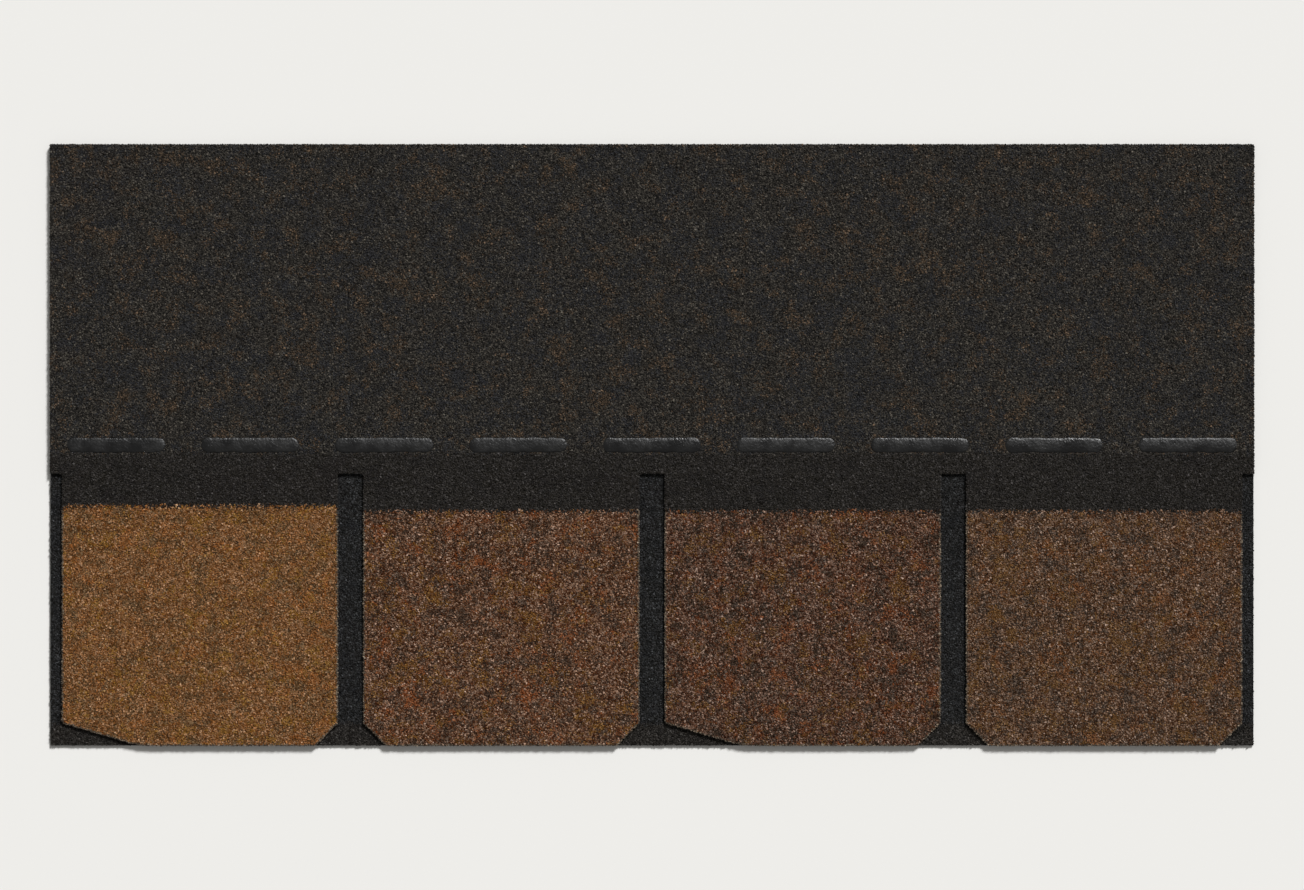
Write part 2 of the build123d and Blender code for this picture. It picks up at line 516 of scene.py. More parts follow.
def polyester_film():
    """Clear release film over black asphalt: a smooth strip, grey as a painted reflection, with faint
    creases.
    """
    # painted reflection: the grey base colour stands for the room mirrored in the film over black
    # asphalt
    material, tree, shader = plain_material("polyester_film", "#4a4c4f", roughness=0.14, ior=1.64)
    place = add(tree, "ShaderNodeTexCoord").outputs["Object"]
    creases = {"Vector": place, "Scale": 1 / CREASE_SIZE, **CLOUDS}
    creases = add(tree, "ShaderNodeTexNoise", creases, noise_dimensions="4D")
    # painted sheen: the colour follows the crease noise, lighter and darker with it
    tints = {"Factor": creases, "A": linear("#3a3c3f"), "B": linear("#626467")}
    bump = add(tree, "ShaderNodeBump", {"Height": creases, "Distance": CREASE_RELIEF})
    feed(shader, {"Base Color": add(tree, "ShaderNodeMix", tints, data_type="RGBA"), "Normal": bump})
    return material


film = polyester_film()
print(film.name, "creased every", round(CREASE_SIZE / MM), "mm")


# %% [markdown]
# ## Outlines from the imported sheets
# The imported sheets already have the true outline, with every clipped corner, so the outline is
# read from their meshes. A copy of a sheet's mesh is merged, its top faces are kept, and the edges
# that have a top face on one side only are walked round into one closed loop.

# %% Read a sheet's outline
TOUCHING = 0.001 * MM  # points nearer to each other than this are one


def outline_of(node):
    """The corners of a sheet's top face, in order round it, as points in the XY plane."""
    sheet = bmesh.new()
    sheet.from_mesh(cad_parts[node].data)
    bmesh.ops.remove_doubles(sheet, verts=sheet.verts, dist=TOUCHING)
    top = max(v.co.z for v in sheet.verts)
    top_faces = {f for f in sheet.faces if all(v.co.z > top - 10 * TOUCHING for v in f.verts)}
    neighbours = {}
    for edge in sheet.edges:
        if sum(f in top_faces for f in edge.link_faces) == 1:
            for a, b in (edge.verts, reversed(edge.verts)):
                neighbours.setdefault(a, []).append(b)
    start = min(neighbours, key=lambda v: (v.co.y, v.co.x))
    loop, previous = [start], None
    while True:
        here = loop[-1]
        onward = next(v for v in neighbours[here] if v is not previous)
        if onward is start:
            break
        loop.append(onward)
        previous = here
    points = [v.co.xy.copy() for v in loop]
    sheet.free()
    area = sum(a.cross(b) for a, b in zip(points, points[1:] + points[:1])) / 2
    return points if area > 0 else points[::-1]


face_corners, base_corners = outline_of("face_sheet"), outline_of("base_sheet")
print("outline corners:", len(face_corners), "on the face sheet,", len(base_corners), "on the base")


# %% [markdown]
# ## Finer outlines
# A torn edge wanders every millimetre or two, and a straight side has no points there to move, so
# long sides are divided. A point right beside a corner would cross its neighbour once the outline
# is moved inwards, and is left out. Each point also needs the direction that leads into the sheet.

# %% Divide the outlines
OUTLINE_STEP = 1.2 * MM


def resampled(points, step):
    """The same closed outline with its long sides divided, but not right beside a corner."""
    finer = []
    for a, b in zip(points, points[1:] + points[:1]):
        pieces = max(1, round((b - a).length / step))
        finer += [a.lerp(b, i / pieces) for i in range(pieces) if i == 0 or 1 < i < pieces - 1]
    return finer


def inward_normals(points):
    """For each point of an anticlockwise outline, the direction into it, longer at a corner."""
    normals = []
    for before, here, after in zip(points[-1:] + points[:-1], points, points[1:] + points[:1]):
        sides = [(here - before).normalized(), (after - here).normalized()]
        left = [Vector((-side.y, side.x)) for side in sides]
        middle = (left[0] + left[1]).normalized()
        normals.append(middle / max(middle.dot(left[0]), 0.5))  # at most twice as long
    return normals


face_outline = resampled(face_corners, OUTLINE_STEP)
base_outline = resampled(base_corners, OUTLINE_STEP)
print("outline points:", len(face_outline), "on the face sheet,", len(base_outline), "on the base")


# %% [markdown]
# ## Filling an outline
# The top and bottom of a sheet are one large face each, with notches. Blender could fill such a
# face by itself, but its triangles would run from corner to corner as long slivers. A Delaunay
# triangulation of the same points keeps them as even as the outline allows.

# %% Fill an outline
def capped(points):
    """Triangles that fill a closed outline, each as three places in its list of points."""
    whole, inside, tolerance = [list(range(len(points)))], 1, 1e-7
    filled = delaunay_2d_cdt(points, [], whole, inside, tolerance)
    source = [origins[0] for origins in filled[3]]
    triangles = []
    for face in filled[2]:
        a, b, c = (source[k] for k in face)
        turn = (points[b] - points[a]).cross(points[c] - points[a])
        triangles.append([a, b, c] if turn > 0 else [a, c, b])
    return triangles


print("triangles over the face sheet:", len(capped(face_outline)))


# %% [markdown]
# ## The two asphalt sheets
# A cutting die shears asphalt and tears glass fibre, so a cut edge is never a clean plane. Each
# sheet's wall is built in rows of points that follow the outline. Every row is set back a little,
# most at the top, where the die rolls the surface over, and noise makes the setback ragged. The
# sheets end up just inside their CAD outline, which leaves room for the granules at the edge, and
# a quarter of a millimetre below their nominal face, which is where the granules' layer begins.

# %% Build a ragged sheet
WALL_PROFILE = [  # share of the height, and setback in mm
    (0.0, 0.3), (0.14, 0.12), (0.5, 0.0), (0.82, 0.08), (0.94, 0.4), (1.0, 1.1),
]
EDGE_ROOM = 0.3 * MM  # left outside the wall for granules and tufts
RAGGEDNESS = 0.35 * MM
TEAR_SIZE, BEND_SIZE = 2.2 * MM, 9 * MM  # across the fine and the coarse unevenness
TEAR_SHARE = 0.7  # of the raggedness that is fine, and the rest is coarse
GRANULE_BED = 0.25 * MM
BACK_ROOM = 0.05 * MM  # between the base sheet's back and the shingle's own
SHEET_LAP = 0.3 * MM  # how far the face sheet's asphalt reaches down into the base sheet's


def ragged_sheet(name, outline, bottom, top):
    """A closed sheet between two heights, with a torn wall. Returns its object."""
    normals = inward_normals(outline)
    sheet = bmesh.new()
    rows = []
    for share, setback in WALL_PROFILE:
        z = bottom + share * (top - bottom)
        row = []
        for point, normal in zip(outline, normals):
            here = Vector((point.x, point.y, z))
            ragged = 0.5 + 0.5 * noise.noise(here / TEAR_SIZE)
            coarse = 0.5 + 0.5 * noise.noise(here / BEND_SIZE)
            uneven = TEAR_SHARE * ragged + (1 - TEAR_SHARE) * coarse
            shift = EDGE_ROOM + setback * MM + RAGGEDNESS * uneven
            row.append(sheet.verts.new((*(point + normal * shift), z)))
        rows.append(row)
    for lower, upper in zip(rows, rows[1:]):
        for i in range(len(outline)):
            j = (i + 1) % len(outline)
            sheet.faces.new((lower[i], lower[j], upper[j], upper[i]))
    for row, flip in ((rows[-1], False), (rows[0], True)):
        for corners in capped([v.co.xy for v in row]):
            sheet.faces.new([row[k] for k in (corners[::-1] if flip else corners)])
    mesh = bpy.data.meshes.new(name)
    sheet.to_mesh(mesh)
    sheet.free()
    piece = bpy.data.objects.new(name, mesh)
    scene.collection.objects.link(piece)
    return piece


base_piece = ragged_sheet(
    "base_sheet_asphalt", base_outline, base_low.z + BACK_ROOM, base_high.z - GRANULE_BED
)
face_piece = ragged_sheet(
    "face_sheet_asphalt", face_outline, base_high.z - SHEET_LAP, face_high.z - GRANULE_BED
)
print("asphalt sheets:", *(f"{p.name} {len(p.data.polygons)} faces" for p in (base_piece, face_piece)))


# %% [markdown]
# ## Zones of the face
# Each tab has a blend of its own, and the headlap above the tabs another. The face sheet's top is
# cut along the tabs' borders, and every face gets its zone's fines as its material. The same cuts
# give the meshes that the granules are scattered on.

# %% Cut the top into zones
def cut_along(piece, planes):
    """Cuts a piece's faces along planes, given as a point and a normal, without opening it."""
    sheet = bmesh.new()
    sheet.from_mesh(piece.data)
    for point, normal in planes:
        everything = sheet.verts[:] + sheet.edges[:] + sheet.faces[:]
        bmesh.ops.bisect_plane(
            sheet, geom=everything, plane_co=point, plane_no=normal, dist=TOUCHING
        )
    bmesh.ops.dissolve_degenerate(sheet, edges=sheet.edges, dist=2 * TOUCHING)
    bmesh.ops.triangulate(sheet, faces=[f for f in sheet.faces if len(f.verts) > 4])
    sheet.to_mesh(piece.data)
    sheet.free()


tab_borders = [face_low.x + TAB_PITCH * i for i in range(1, TAB_COUNT)]
cut_along(
    face_piece, [((0, HEADLAP_Y, 0), (0, 1, 0))] + [((x, 0, 0), (1, 0, 0)) for x in tab_borders]
)
print("cut at y", round(HEADLAP_Y / MM, 1), "and x", [round(x / MM, 1) for x in tab_borders])


# %% [markdown]
# ## A material for every face
# A mesh holds a short list of materials, and each face only a number in that list. A face that
# looks down is the sanded back, one that stands up is the torn edge, and one that looks up gets
# the fines of the tab or headlap that its middle lies in.

# %% Give every face its material
LEVEL = 0.9  # a face whose normal's z is past this, up or down, lies level, and the others stand up


def paint(piece, materials, which):
    """Gives a piece its materials, and each face the one that the function picks for it."""
    for material in materials:
        piece.data.materials.append(material)
    for face in piece.data.polygons:
        face.material_index = materials.index(which(face.center, face.normal))


def tab_number(x):
    """Which tab a place along the course belongs to, from 1 at the left end."""
    return min(TAB_COUNT, max(1, 1 + int((x - face_low.x) // TAB_PITCH)))


def face_zone(centre, normal):
    """The material of a face of the face sheet."""
    if normal.z < -LEVEL:
        return sanded_back
    if normal.z < LEVEL:
        return cut_edge
    return fines["headlap"] if centre.y > HEADLAP_Y else fines[f"tab_{tab_number(centre.x)}"]


def base_zone(centre, normal):
    """The material of a face of the base sheet."""
    if normal.z < -LEVEL:
        return sanded_back
    return fines["slots"] if normal.z > LEVEL else cut_edge


paint(face_piece, [fines[z] for z in fines if z != "slots"] + [cut_edge, sanded_back], face_zone)
paint(base_piece, [fines["slots"], cut_edge, sanded_back], base_zone)
print("faces painted:", len(face_piece.data.polygons) + len(base_piece.data.polygons))


# %% [markdown]
# ## Granule shapes
# Crushing leaves angular grains with a few flat sides. The hull of five or six loosely spread
# points is just that, with six or eight triangles, and stays cheap when it is repeated a hundred
# thousand times. The points start on a spiral round a ball, so that no grain is a sliver,
# and all grains get one volume, as a sieve would sort them.

# %% Make the grains
GRAIN_VOLUME = 0.30  # of a grain one unit across
GRAIN_CORNERS = [5, 5, 5, 5, 5, 5, 6, 6]
CORNER_SHAKE = 0.22  # how far a corner may leave its place on the ball, each way
grain_maker = random.Random(8)
grain_collection = bpy.data.collections.new("granule_shapes")


def grain_mesh(name, corner_count):
    """An angular grain about one unit across: the hull of a few shaken points."""
    grain = bmesh.new()
    for k in range(corner_count):
        z = 1 - (2 * k + 1) / corner_count
        turn = k * math.pi * (3 - math.sqrt(5))
        around = math.sqrt(1 - z * z)
        shake = Vector([grain_maker.uniform(-CORNER_SHAKE, CORNER_SHAKE) for _ in range(3)])
        grain.verts.new(Vector((around * math.cos(turn), around * math.sin(turn), z)) + shake)
    hull = bmesh.ops.convex_hull(grain, input=grain.verts)
    bmesh.ops.delete(grain, geom=hull["geom_interior"], context="VERTS")
    bmesh.ops.recalc_face_normals(grain, faces=grain.faces)
    size = (GRAIN_VOLUME / grain.calc_volume()) ** (1 / 3)
    bmesh.ops.scale(grain, vec=(size, size, size), verts=grain.verts)
    centre = sum((v.co for v in grain.verts), Vector()) / len(grain.verts)
    bmesh.ops.translate(grain, vec=-centre, verts=grain.verts)
    mesh = bpy.data.meshes.new(name)
    grain.to_mesh(mesh)
    grain.free()
    return mesh


for number, corner_count in enumerate(GRAIN_CORNERS):
    mesh = grain_mesh(f"grain_{number}", corner_count)
    grain_collection.objects.link(bpy.data.objects.new(mesh.name, mesh))


# %% [markdown]
# ## Where the granules land
# On the line, granules rain onto hot asphalt and a drum presses them in until no more fit. In
# Geometry Nodes that is a Poisson disk distribution: points fall at random, and any that falls too
# near another is taken away. More than fit have to fall, or gaps stay. A ray straight up from each
# point tells whether another piece covers it, such as the face sheet over the base, and those
# points go. What stays is marked with its three random draws.

# %% Points for the granules
CROWDING = 2.2  # points that fall for each square of the spacing, before the near ones go
COVER_REACH = 20 * MM  # how far up a cover is looked for


def granule_points(tree, given):
    """Points over the open part of the zone, marked with their draws, and the zone's normals."""
    square = {0: given["Spacing"], 1: given["Spacing"]}
    squared = add(tree, "ShaderNodeMath", square, operation="MULTIPLY")
    rain = {
        "Mesh": given["Zone"],
        "Distance Min": given["Spacing"],
        "Density Max": add(tree, "ShaderNodeMath", {0: CROWDING, 1: squared}, operation="DIVIDE"),
        "Seed": given["Seed"],
    }
    points = add(
        tree, "GeometryNodeDistributePointsOnFaces", rain, distribute_method="POISSON"
    )
    cover = add(
        tree, "GeometryNodeObjectInfo", {"Object": given["Cover"]}, transform_space="RELATIVE"
    )
    ray = {
        "Target Geometry": cover.outputs["Geometry"],
        "Ray Direction": (0, 0, 1),
        "Ray Length": COVER_REACH,
    }
    covered = {"Geometry": points, "Selection": add(tree, "GeometryNodeRaycast", ray)}
    open_points = add(tree, "GeometryNodeDeleteGeometry", covered, domain="POINT")
    draws = add(tree, "FunctionNodeRandomValue", {"Seed": given["Seed"]}, data_type="FLOAT_VECTOR")
    marks = {"Geometry": open_points, "Name": "granule_draw", "Value": draws}
    marked = add(
        tree, "GeometryNodeStoreNamedAttribute", marks, data_type="FLOAT_VECTOR", domain="POINT"
    )
    return marked, points.outputs["Normal"]


print("points that fall on each square of the spacing:", CROWDING)


# %% [markdown]
# ## A grain on every point
# The points are sunk into the bed along the surface's normal. Each then gets one grain of the
# collection, picked, turned and sized at random. The three draws have seeds of their own, since
# with one seed for all, every large grain would also be turned alike.

# %% Grains on the points
def grains_on(tree, points, normals, given):
    """A randomly picked, turned and sized grain on each point, as real geometry."""
    depth = add(tree, "ShaderNodeMath", {0: given["Sink"], 1: -1.0}, operation="MULTIPLY")
    inwards = add(tree, "ShaderNodeVectorMath", {0: normals, "Scale": depth}, operation="SCALE")
    sunk = add(tree, "GeometryNodeSetPosition", {"Geometry": points, "Offset": inwards})
    shelf = {"Collection": given["Grains"], "Separate Children": True, "Reset Children": True}
    any_grain = {"Min": 0, "Max": 999, "Seed": 1}  # past the last grain it starts again
    any_turn = {"Min": (0, 0, 0), "Max": (math.tau,) * 3, "Seed": 2}
    any_size = {"Min": given["Smallest"], "Max": given["Largest"], "Seed": 3}
    placing = {
        "Points": sunk,
        "Instance": add(tree, "GeometryNodeCollectionInfo", shelf),
        "Pick Instance": True,
        "Instance Index": add(tree, "FunctionNodeRandomValue", any_grain, data_type="INT"),
        "Rotation": add(tree, "FunctionNodeRandomValue", any_turn, data_type="FLOAT_VECTOR"),
        "Scale": add(tree, "FunctionNodeRandomValue", any_size, data_type="FLOAT"),
    }
    grains = add(tree, "GeometryNodeInstanceOnPoints", placing)
    return add(tree, "GeometryNodeRealizeInstances", {"Geometry": grains})


# %% [markdown]
# ## The scattering tree
# The two halves join into one tree, whose inputs are what differs from zone to zone. The drum
# leaves no grain standing proud, so the last step flattens whatever would stick out of the
# shingle's own box.

# %% Build the scattering tree
def kept_in_box(tree, geometry, given):
    """Flattens what would stick out of the box that the tree was given."""
    low = {0: add(tree, "GeometryNodeInputPosition"), 1: given["Box Low"]}
    raised = add(tree, "ShaderNodeVectorMath", low, operation="MAXIMUM")
    high = {0: raised, 1: given["Box High"]}
    lowered = add(tree, "ShaderNodeVectorMath", high, operation="MINIMUM")
    return add(tree, "GeometryNodeSetPosition", {"Geometry": geometry, "Position": lowered})


def new_tree(name, inputs, result):
    """An empty tree with these inputs and one geometry as its output, and its inputs' sockets."""
    tree = bpy.data.node_groups.new(name, "GeometryNodeTree")
    for kind, names in inputs.items():
        for each in names:
            tree.interface.new_socket(name=each, in_out="INPUT", socket_type=f"NodeSocket{kind}")
    tree.interface.new_socket(name=result, in_out="OUTPUT", socket_type="NodeSocketGeometry")
    return tree, add(tree, "NodeGroupInput").outputs


SCATTER_INPUTS = {
    "Geometry": ["Zone"],
    "Float": ["Spacing", "Smallest", "Largest", "Sink"],
    "Int": ["Seed"],
    "Object": ["Cover"],
    "Collection": ["Grains"],
    "Material": ["Material"],
    "Vector": ["Box Low", "Box High"],
}
scatter, given = new_tree("scatter_granules", SCATTER_INPUTS, "Granules")
grains = grains_on(scatter, *granule_points(scatter, given), given)
coloured = {"Geometry": kept_in_box(scatter, grains, given), "Material": given["Material"]}
add(scatter, "NodeGroupOutput", {"Granules": add(scatter, "GeometryNodeSetMaterial", coloured)})
print("scattering tree:", len(scatter.nodes), "nodes,", len(scatter.links), "links")


# %% [markdown]
# ## Running a tree
# A tree works as a modifier on an object. Its inputs are set by their identifiers, because two
# inputs may share a name, and all of them before the object is first evaluated. The result is
# copied out as a plain mesh and the modifier goes, so that nothing live is left to export. The
# grains' own empty material slot comes along in the result, so its list of materials is renewed.

# %% Run a tree on a mesh
def grown(tree, name, mesh, wanted):
    """Runs a tree on a mesh and returns a new object that holds the result as a plain mesh."""
    piece = bpy.data.objects.new(name, mesh)
    scene.collection.objects.link(piece)
    modifier = piece.modifiers.new(tree.name, "NODES")
    modifier.node_group = tree
    for item in tree.interface.items_tree:
        if item.name in wanted:
            modifier[item.identifier] = wanted[item.name]
    graph = bpy.context.evaluated_depsgraph_get()
    plain = bpy.data.meshes.new_from_object(piece.evaluated_get(graph))
    piece.modifiers.clear()
    piece.data = plain
    plain.name = name
    plain.materials.clear()
    plain.materials.append(wanted["Material"])
    return piece


def triangles(*pieces):
    """How many triangles these pieces have."""
    return sum(len(face.vertices) - 2 for piece in pieces for face in piece.data.polygons)


print("asphalt sheets:", triangles(base_piece), "and", triangles(face_piece), "triangles")


# %% [markdown]
# ## A map for the bake
# The export paints each piece's colours into a picture, and needs a map that lays its faces out
# flat. Granules have one colour all round and hardly any two lie over each other, so a plan of the
# piece as it is seen from above is the best map: each granule keeps its own small spot in it.

# %% Lay out the bake map
MAP_MARGIN = 0.01  # left free along each side of the map


def map_in_plan(piece):
    """Lays the piece's bake map out as it is seen from above, from edge to edge of the map."""
    mesh = piece.data
    places = np.empty(len(mesh.vertices) * 3)
    mesh.vertices.foreach_get("co", places)
    plan = places.reshape(-1, 3)[:, :2]
    plan = MAP_MARGIN + (1 - 2 * MAP_MARGIN) * (plan - plan.min(0)) / np.ptp(plan, axis=0)
    corners = np.empty(len(mesh.loops), np.int32)
    mesh.loops.foreach_get("vertex_index", corners)
    layer = mesh.uv_layers.new(name="OFBake")
    layer.uv.foreach_set("vector", plan[corners].astype(np.float32).ravel())


print("part of the bake map in use:", round((1 - 2 * MAP_MARGIN) ** 2, 2))


# %% [markdown]
# ## One zone at a time
# A zone is a part of a sheet's top that carries one blend, such as a tab. Its faces are copied into
# a mesh of their own, the tree runs on that mesh, and its granules become one piece. Ten zones,
# the cut rim among them, keep each piece far below the two hundred thousand triangles past which
# its file would be thinned. Each has a seed of its own, so no two tabs carry the same granules.

# %% Scatter over one zone
def zone_mesh(piece, keep):
    """The faces of a piece whose centre and normal pass the test, as a mesh of their own."""
    zone = bmesh.new()
    zone.from_mesh(piece.data)
    unwanted = [f for f in zone.faces if not keep(f.calc_center_median(), f.normal)]
    bmesh.ops.delete(zone, geom=unwanted, context="FACES")
    mesh = bpy.data.meshes.new("zone")
    zone.to_mesh(mesh)
    zone.free()
    return mesh


def scattered(name, zone, material, spacing, sizes, seed, cover=None, sink=0.1):
    """Granules over a zone's mesh. Spacing, smallest and largest grain and sink are in mm."""
    wanted = {
        "Spacing": spacing * MM,
        "Smallest": sizes[0] * MM,
        "Largest": sizes[1] * MM,
        "Sink": sink * MM,
        "Seed": seed,
        "Cover": cover,
        "Grains": grain_collection,
        "Material": material,
        "Box Low": tuple(cad_low),
        "Box High": tuple(cad_high),
    }
    piece = grown(scatter, name, zone, wanted)
    map_in_plan(piece)
    print(name, triangles(piece), "triangles")
    return piece


print("no granule reaches above", round(cad_high.z / MM, 2), "mm")


# %% [markdown]
# ## Granules on every zone
# Roofing granules are sieved between 0.4 and 1.7 mm. The larger ones are modelled, from 1.1 mm up,
# and the fines already lie between them. The tabs are what the eye reads, so they get the closest
# granules. The headlap lies under the next course and gets fewer, with none under the sealant. On
# the base sheet the face sheet is the cover, so granules lie only in the slots and clipped corners.

# %% Scatter the granules
GRANULE_SIZES = (1.1, 1.7)
TAB_SPACING, HEADLAP_SPACING, SLOT_SPACING = 1.15, 1.35, 1.2
FLAT = 0.999  # a face whose normal's z is above this is part of the flat top, not of its rolled edge


def part_of_face(number, in_headlap):
    """The flat top of one tab, or of the headlap above it, as a mesh of its own."""

    def belongs(centre, normal):
        in_bay = tab_number(centre.x) == number and (centre.y > HEADLAP_Y) == in_headlap
        return in_bay and normal.z > FLAT

    return zone_mesh(face_piece, belongs)


granule_pieces = []
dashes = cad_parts["seal_strip"]
for number in range(1, TAB_COUNT + 1):
    tab, bay = part_of_face(number, False), part_of_face(number, True)
    tab_name, bay_name = f"tab_{number}_granules", f"headlap_{number}_granules"
    coat, dark_coat = granules[f"tab_{number}"], granules["headlap"]
    granule_pieces += [
        scattered(tab_name, tab, coat, TAB_SPACING, GRANULE_SIZES, seed=10 + number),
        scattered(
            bay_name, bay, dark_coat, HEADLAP_SPACING, GRANULE_SIZES, seed=20 + number, cover=dashes
        ),
    ]
slots = zone_mesh(base_piece, lambda centre, normal: normal.z > LEVEL)
slot_granules = scattered(
    "slot_granules", slots, granules["slots"], SLOT_SPACING, GRANULE_SIZES, seed=30, cover=face_piece
)
print("granule triangles:", triangles(*granule_pieces, slot_granules))


# %% [markdown]
# ## The broken rim
# The die breaks the granules that it meets. Along every cut they show the pale grey-brown rock
# under their coat, so each tab has a thin bristly rim that is lighter than its face. The same tree
# scatters small broken granules, closer and not sunk, over the rolled-over top of the wall.

# %% Scatter the broken granules
RIM_SIZES = (0.9, 1.5)
RIM_SPACING = 0.85
RIM_HEIGHT = 0.6 * MM  # how far down from the top of the asphalt it reaches
rim_bottom = face_high.z - GRANULE_BED - RIM_HEIGHT
rim = zone_mesh(face_piece, lambda centre, normal: abs(normal.z) < FLAT and centre.z > rim_bottom)
rim_granules = scattered(
    "cut_edge_granules", rim, granules["rim"], RIM_SPACING, RIM_SIZES, seed=40, sink=0.0
)


# %% [markdown]
# ## One bead of sealant
# The sealant is pumped hot through a slotted wheel, which lays a crowned bead for each dash. A
# tree makes one bead by running a circle along a line and then flattening it. Towards each tip the
# circle shrinks as the square root of one minus the square of the way into the tip, which is what
# rounds an end like half a disc.

# %% Shape one bead
LINE_POINTS, RING_POINTS = 64, 16
TIP_LEFT = 0.004  # of the roundness at the very tip, so that the last ring keeps a size


def bead_shape(tree, given):
    """One flattened bead along X with rounded ends, in the middle of the space."""
    radius = add(tree, "ShaderNodeMath", {0: given["Width"], 1: 2.0}, operation="DIVIDE")
    end = add(tree, "ShaderNodeMath", {0: given["Length"], 1: 2.0}, operation="DIVIDE")
    start = add(tree, "ShaderNodeMath", {0: end, 1: -1.0}, operation="MULTIPLY")
    tips = {
        "Start": add(tree, "ShaderNodeCombineXYZ", {"X": start}),
        "End": add(tree, "ShaderNodeCombineXYZ", {"X": end}),
    }
    line = add(tree, "GeometryNodeCurvePrimitiveLine", tips)
    path = add(tree, "GeometryNodeResampleCurve", {"Curve": line, "Count": LINE_POINTS})

    along = add(tree, "GeometryNodeSplineParameter").outputs["Factor"]
    off_middle = add(tree, "ShaderNodeMath", {0: along, 1: 0.5}, operation="SUBTRACT")
    off_middle = add(tree, "ShaderNodeMath", {0: off_middle}, operation="ABSOLUTE")
    way = add(tree, "ShaderNodeMath", {0: off_middle, 1: given["Length"]}, operation="MULTIPLY")
    straight = add(tree, "ShaderNodeMath", {0: end, 1: radius}, operation="SUBTRACT")
    past = add(tree, "ShaderNodeMath", {0: way, 1: straight}, operation="SUBTRACT")
    past = add(tree, "ShaderNodeMath", {0: past, 1: 0.0}, operation="MAXIMUM")
    share = add(tree, "ShaderNodeMath", {0: past, 1: radius}, operation="DIVIDE")
    squared = add(tree, "ShaderNodeMath", {0: share, 1: share}, operation="MULTIPLY")
    rest = add(tree, "ShaderNodeMath", {0: 1.0, 1: squared}, operation="SUBTRACT")
    rest = add(tree, "ShaderNodeMath", {0: rest, 1: TIP_LEFT}, operation="MAXIMUM")

    sweep = {
        "Curve": path,
        "Profile Curve": add(
            tree, "GeometryNodeCurvePrimitiveCircle", {"Resolution": RING_POINTS, "Radius": radius}
        ),
        "Scale": add(tree, "ShaderNodeMath", {0: rest}, operation="SQRT"),
        "Fill Caps": True,
    }
    round_bead = add(tree, "GeometryNodeCurveToMesh", sweep)
    flatness = add(tree, "ShaderNodeMath", {0: given["Height"], 1: radius}, operation="DIVIDE")
    squash = {
        0: add(tree, "GeometryNodeInputPosition"),
        1: add(tree, "ShaderNodeCombineXYZ", {"X": 1.0, "Y": 1.0, "Z": flatness}),
    }
    flat_place = add(tree, "ShaderNodeVectorMath", squash, operation="MULTIPLY")
    return add(tree, "GeometryNodeSetPosition", {"Geometry": round_bead, "Position": flat_place})


print("points along a bead:", LINE_POINTS, "and round it:", RING_POINTS)


# %% [markdown]
# ## The row of beads
# The tree sets the bead on nine points in a row and makes them real. Noise over the place then
# shakes their outlines, each one differently because each lies elsewhere, and the last nodes
# flatten them onto the sealant's box, smooth them and give them their material.

# %% Build the bead tree
SHAKE_SIZE = 5 * MM  # across one bulge of a bead's outline
SHAKE_HEIGHT = 0.6 * MM

BEAD_INPUTS = {
    "Int": ["Count"],
    "Float": ["Length", "Width", "Height", "Wander"],
    "Vector": ["First Place", "Step", "Box Low", "Box High"],
    "Material": ["Material"],
}


def bead_tree():
    """A tree that lays a row of beads."""
    tree, given = new_tree("lay_sealant_beads", BEAD_INPUTS, "Beads")
    row = {
        "Count": given["Count"],
        "Start Location": given["First Place"],
        "Offset": given["Step"],
    }
    places = add(tree, "GeometryNodeMeshLine", row, mode="OFFSET")
    laying = {"Points": places, "Instance": bead_shape(tree, given)}
    beads = add(tree, "GeometryNodeInstanceOnPoints", laying)
    real = add(tree, "GeometryNodeRealizeInstances", {"Geometry": beads})

    bulges = {
        "Vector": add(tree, "GeometryNodeInputPosition"),
        "Scale": 1 / SHAKE_SIZE,
        "Detail": 2.0,
    }
    bulges = add(tree, "ShaderNodeTexNoise", bulges).outputs["Color"]
    either_way = {0: bulges, 1: (0.5, 0.5, 0.5)}
    centred = add(tree, "ShaderNodeVectorMath", either_way, operation="SUBTRACT")
    reach = {"X": given["Wander"], "Y": given["Wander"], "Z": SHAKE_HEIGHT}
    reach = add(tree, "ShaderNodeCombineXYZ", reach)
    shift = add(tree, "ShaderNodeVectorMath", {0: centred, 1: reach}, operation="MULTIPLY")
    shaken = add(tree, "GeometryNodeSetPosition", {"Geometry": real, "Offset": shift})

    trimmed = kept_in_box(tree, shaken, given)
    smooth = {"Geometry": trimmed, "Shade Smooth": True}
    smooth = add(tree, "GeometryNodeSetShadeSmooth", smooth)
    coated = {"Geometry": smooth, "Material": given["Material"]}
    add(tree, "NodeGroupOutput", {"Beads": add(tree, "GeometryNodeSetMaterial", coated)})
    return tree


beads_tree = bead_tree()
print("bead tree:", len(beads_tree.nodes), "nodes,", len(beads_tree.links), "links")


# %% [markdown]
# ## Laying the sealant
# The row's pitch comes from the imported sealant's box. The bead starts a little shorter and
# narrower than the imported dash, to leave room for its bulges, and a little higher, so that its
# crown is pressed flat at the dash's own height.

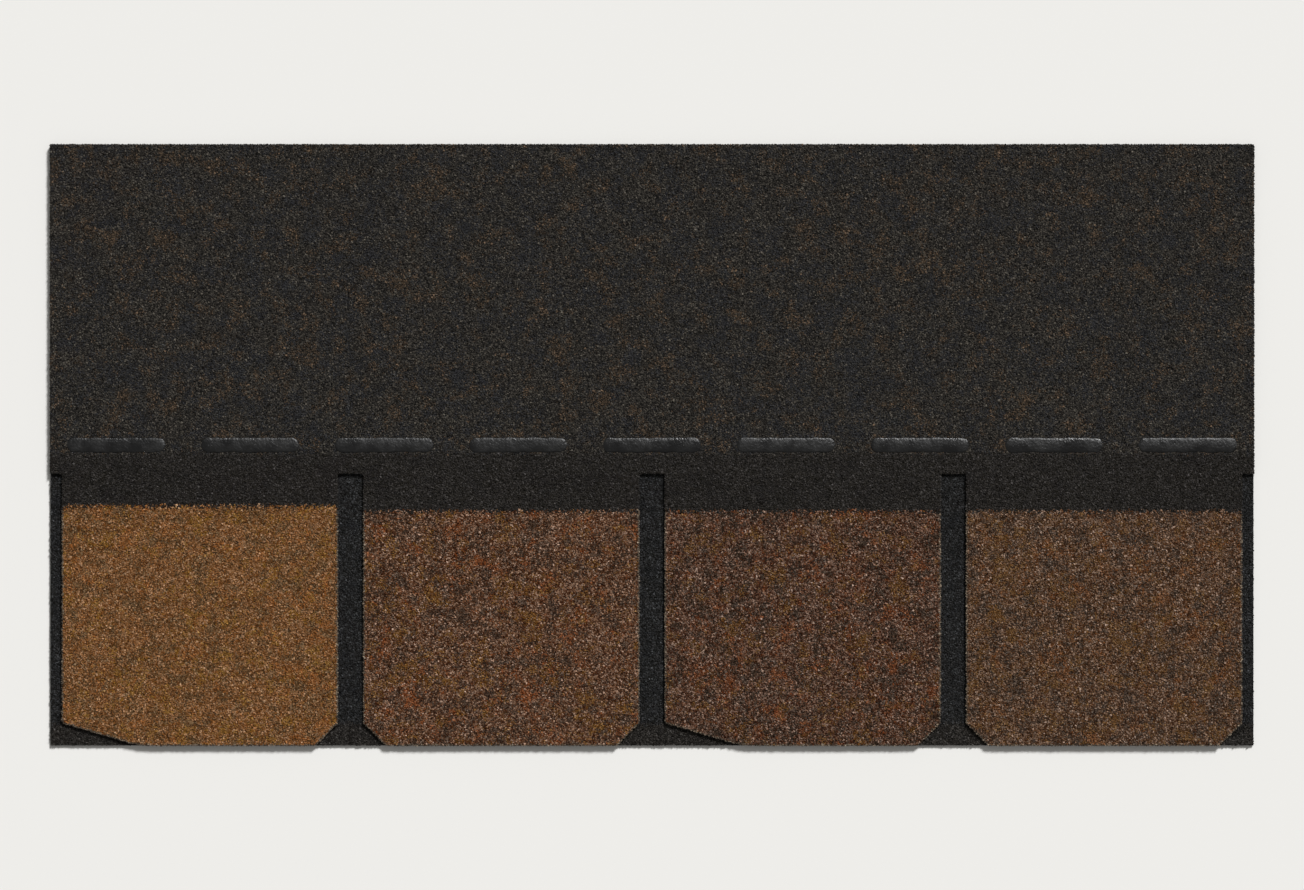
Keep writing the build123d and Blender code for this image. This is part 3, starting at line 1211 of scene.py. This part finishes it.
# %% Lay the beads
DASH_COUNT = 9
DASH_LENGTH, DASH_WIDTH = 76.2 * MM, 12.7 * MM
BEAD_HEIGHT = 0.85 * MM
BULGE_ROOM = 1.5 * MM  # taken off the bead's length and width
BULGE_REACH = 2.2 * MM  # of the noise, from its lowest to its highest
BEAD_ROOT = 1.2 * MM  # how deep a bead may reach down among the granules
seal_low, seal_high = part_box("seal_strip")
dash_pitch = (seal_high.x - seal_low.x - DASH_LENGTH) / (DASH_COUNT - 1)
bead_sizes = {
    "Count": DASH_COUNT,
    "Length": DASH_LENGTH - BULGE_ROOM,
    "Width": DASH_WIDTH - BULGE_ROOM,
    "Height": BEAD_HEIGHT,
    "Wander": BULGE_REACH,
    "First Place": (seal_low.x + DASH_LENGTH / 2, 0.0, seal_low.z - GRANULE_BED),
    "Step": (dash_pitch, 0.0, 0.0),
    "Box Low": tuple(seal_low - Vector((0, 0, BEAD_ROOT))),
    "Box High": tuple(seal_high),
    "Material": sealant,
}
sealant_beads = grown(beads_tree, "sealant_beads", bpy.data.meshes.new("nothing"), bead_sizes)
print("sealant beads:", triangles(sealant_beads), "triangles, pitch", round(dash_pitch / MM, 1), "mm")


# %% [markdown]
# ## The camera
# The photograph looks straight at the roof, so the camera hangs over the middle of the shingle and
# looks down. A long lens keeps the sheets' edges from showing at the sides of the picture.

# %% Camera
LENS, SENSOR = 100.0, 36.0
FRAME_FILL = 0.925  # of the picture's width that the shingle takes
width = cad_high.x - cad_low.x
centre = (cad_low + cad_high) / 2
camera_data = bpy.data.cameras.new("camera")
camera_data.lens = LENS
camera_data.sensor_width = SENSOR
camera = bpy.data.objects.new("camera", camera_data)
camera.location = (centre.x, centre.y, cad_high.z + width / FRAME_FILL * LENS / SENSOR)
scene.collection.objects.link(camera)
scene.camera = camera
print("camera height", round(camera.location.z, 2), "m")


# %% [markdown]
# ## Light and floor
# In the photograph the light comes from the upper right: the lower edges throw a short dark shadow
# and the granules' right sides are lit. It is as strong at one end of the course as at the other,
# so the lamp is a sun, which is equally far from everything, and is made wide enough for soft
# shadows. A weak pale world fills them. The floor is a plain pale board just under the shingle.

# %% Light and floor
KEY_DIRECTION = Vector((0.62, 1.1, 1.0)).normalized()
KEY_STRENGTH = 3.8  # watts on each square metre that faces it
KEY_SPREAD = math.radians(13)  # across the lamp as it is seen from the shingle
FILL_STRENGTH = 0.25
key_data = bpy.data.lights.new("key_light", "SUN")
key_data.angle = KEY_SPREAD
key_data.energy = KEY_STRENGTH
key = bpy.data.objects.new("key_light", key_data)
key.rotation_euler = (-KEY_DIRECTION).to_track_quat("-Z", "Y").to_euler()
scene.collection.objects.link(key)

world = bpy.data.worlds.new("soft_studio")
world.use_nodes = True
feed(world.node_tree.nodes["Background"], {"Color": linear("#f6f5f2"), "Strength": FILL_STRENGTH})
scene.world = world
scene.view_settings.view_transform = "Standard"

FLOOR_REACH, FLOOR_Z = 30.0, -0.2 * MM
floor_mesh = bpy.data.meshes.new("floor")
sides = [(-1, -1), (1, -1), (1, 1), (-1, 1)]
floor_mesh.from_pydata([(x * FLOOR_REACH, y * FLOOR_REACH, FLOOR_Z) for x, y in sides], [], [range(4)])
floor = bpy.data.objects.new("floor", floor_mesh)
scene.collection.objects.link(floor)
floor_paint, _, _ = plain_material("floor_paint", "#f0efec", roughness=0.9)
floor_mesh.materials.append(floor_paint)
print("lamp", KEY_STRENGTH, "W/m2, floor at", FLOOR_Z / MM, "mm")


# %% [markdown]
# ## Joining the pieces to the imported part
# Each piece rides on a body. Nothing on a shingle moves, so everything rides on the root body, and
# the imported solids that the pieces stand in for are hidden. The release film's own solid has the
# right shape already, and only gets its material.

# %% Join the pieces to the frame
for piece in (base_piece, slot_granules):
    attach(piece, "root")
for piece in (face_piece, *granule_pieces, rim_granules):
    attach(piece, "root")
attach(sealant_beads, "root")
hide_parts("base_sheet")
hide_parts("face_sheet")
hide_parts("seal_strip")
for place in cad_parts["release_film"].material_slots:
    place.material = film

pieces = (base_piece, face_piece, slot_granules, *granule_pieces, rim_granules, sealant_beads)
print("pieces:", len(pieces), "with", triangles(*pieces), "triangles in all")
